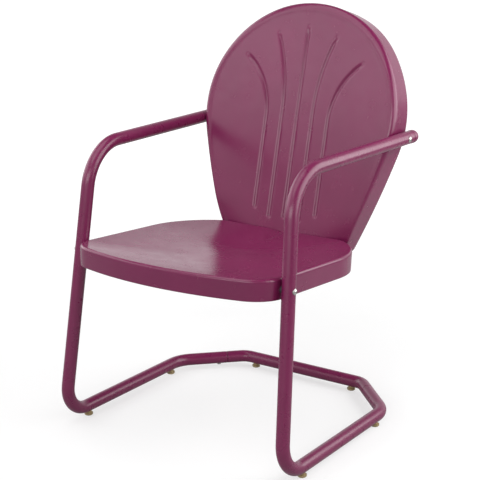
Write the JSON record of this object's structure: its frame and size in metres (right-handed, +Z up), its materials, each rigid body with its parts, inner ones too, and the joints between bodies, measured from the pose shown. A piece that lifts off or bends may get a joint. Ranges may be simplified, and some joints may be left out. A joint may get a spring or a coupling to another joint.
{
  "type": "metal armchair",
  "caption": "Cantilevered outdoor armchair with a bent tube frame, a pressed sheet seat and a round-topped, ribbed back.",
  "frame": {"origin": "on the floor, at the centre of the chair's footprint box", "axes": "+Z up, +Y towards the back of the chair, so the sitter faces -Y; +X to the right as seen from the front"},
  "size_m": [0.584, 0.649, 0.8811],
  "materials": {
    "frame_paint": "gloss",
    "sheet_paint": "gloss",
    "steel": "bright zinc",
    "nylon": "matte",
    "glide": "satin"
  },
  "bodies": {
    "root": {"left_side_tube": "frame_paint", "right_side_tube": "frame_paint", "rear_cross_tube": "frame_paint", "left_arm_cap": "frame_paint", "right_arm_cap": "frame_paint", "seat_shell": "sheet_paint", "back_shell": "sheet_paint", "left_arm_bolt": "steel", "right_arm_bolt": "steel", "left_arm_nut": "steel", "right_arm_nut": "steel", "left_arm_spacer": "nylon", "right_arm_spacer": "nylon", "left_leg_bolt": "steel", "right_leg_bolt": "steel", "left_leg_nut": "steel", "right_leg_nut": "steel", "left_leg_spacer": "nylon", "right_leg_spacer": "nylon", "seat_back_bolts": "steel", "seat_back_nuts": "steel", "seat_back_washers": "steel", "left_joint_screw": "steel", "right_joint_screw": "steel", "front_left_glide": "glide", "front_right_glide": "glide", "middle_left_glide": "glide", "middle_right_glide": "glide", "rear_left_glide": "glide", "rear_right_glide": "glide"}
  },
  "joints": []
}
